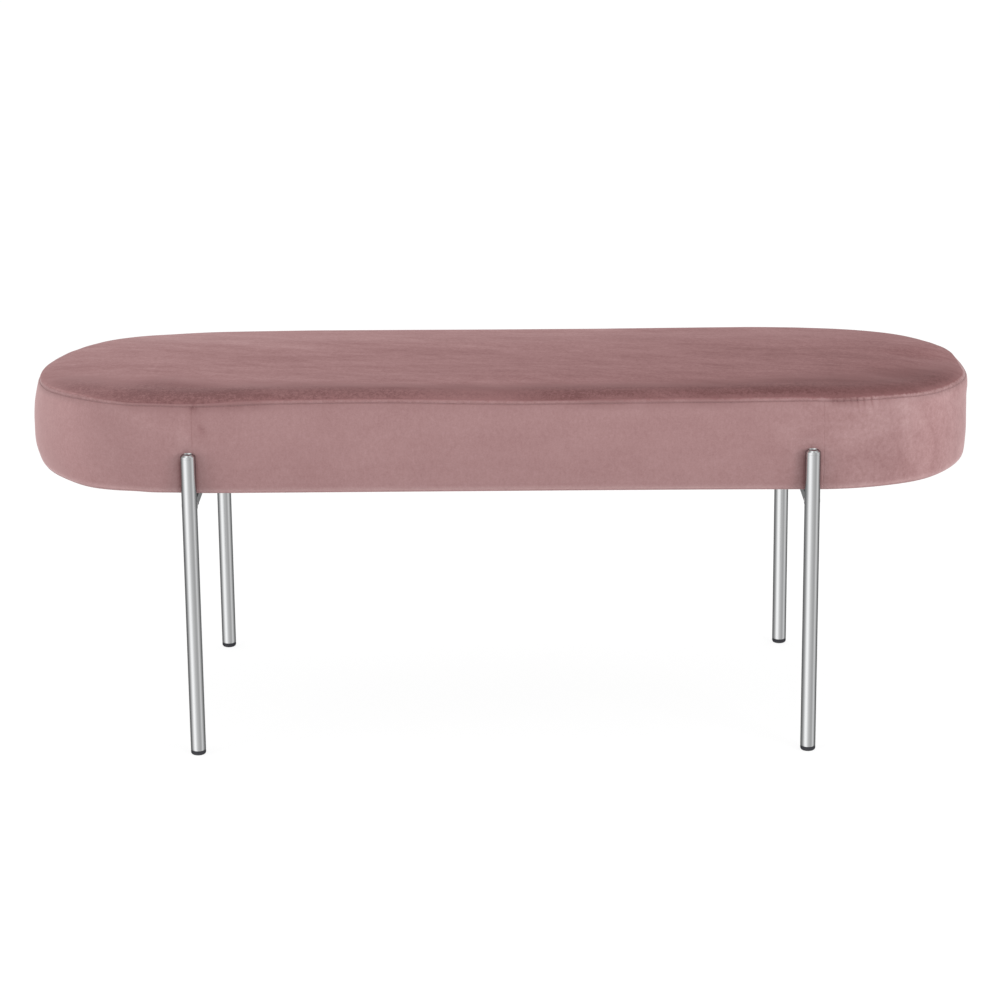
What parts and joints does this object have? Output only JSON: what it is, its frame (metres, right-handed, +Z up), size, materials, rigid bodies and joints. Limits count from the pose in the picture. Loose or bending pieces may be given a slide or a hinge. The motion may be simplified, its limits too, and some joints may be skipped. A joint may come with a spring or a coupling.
{
  "type": "upholstered bench",
  "caption": "Velvet bench with a racetrack seat, a crowned top and banded side, on slim steel tube legs that stand outside its long sides.",
  "frame": {"origin": "on the floor, under the middle of the seat", "axes": "+X along the seat towards its right end, front at -Y, +Z up"},
  "size_m": [1.2, 0.455, 0.4596],
  "materials": {
    "velvet": "short-pile velvet, dusty mauve pink, with a soft nap sheen",
    "leg_steel": "satin stainless, finely brushed along the tube",
    "foot_rubber": "matt dark grey",
    "fixing_zinc": "zinc plated",
    "plywood": "raw birch plywood",
    "foam": "open-cell polyurethane foam",
    "wadding": "polyester wadding",
    "dust_cover": "black non-woven cloth"
  },
  "bodies": {
    "root": {"leg_tube_front_left": "leg_steel", "leg_cap_front_left": "leg_steel", "foot_front_left": "foot_rubber", "leg_tube_front_right": "leg_steel", "leg_cap_front_right": "leg_steel", "foot_front_right": "foot_rubber", "leg_tube_rear_left": "leg_steel", "leg_cap_rear_left": "leg_steel", "foot_rear_left": "foot_rubber", "leg_tube_rear_right": "leg_steel", "leg_cap_rear_right": "leg_steel", "foot_rear_right": "foot_rubber", "cross_rail_left": "leg_steel", "cross_rail_right": "leg_steel", "rail_bolt_left_front": "fixing_zinc", "saddle_washer_left_front": "fixing_zinc", "tee_nut_left_front": "fixing_zinc", "rail_bolt_left_middle": "fixing_zinc", "saddle_washer_left_middle": "fixing_zinc", "tee_nut_left_middle": "fixing_zinc", "rail_bolt_left_rear": "fixing_zinc", "saddle_washer_left_rear": "fixing_zinc", "tee_nut_left_rear": "fixing_zinc", "rail_bolt_right_front": "fixing_zinc", "saddle_washer_right_front": "fixing_zinc", "tee_nut_right_front": "fixing_zinc", "rail_bolt_right_middle": "fixing_zinc", "saddle_washer_right_middle": "fixing_zinc", "tee_nut_right_middle": "fixing_zinc", "rail_bolt_right_rear": "fixing_zinc", "saddle_washer_right_rear": "fixing_zinc", "tee_nut_right_rear": "fixing_zinc", "base_board": "plywood", "top_deck": "plywood", "frame_rail_front": "plywood", "frame_rail_rear": "plywood", "end_rim_left": "plywood", "end_rim_right": "plywood", "frame_rib_left": "plywood", "frame_rib_middle": "plywood", "frame_rib_right": "plywood", "foam_pad": "foam", "side_wadding": "wadding", "dust_cover": "dust_cover", "cover_top_panel": "velvet", "cover_band_front": "velvet", "cover_band_rear": "velvet", "cover_band_left": "velvet", "cover_band_right": "velvet"}
  },
  "joints": []
}
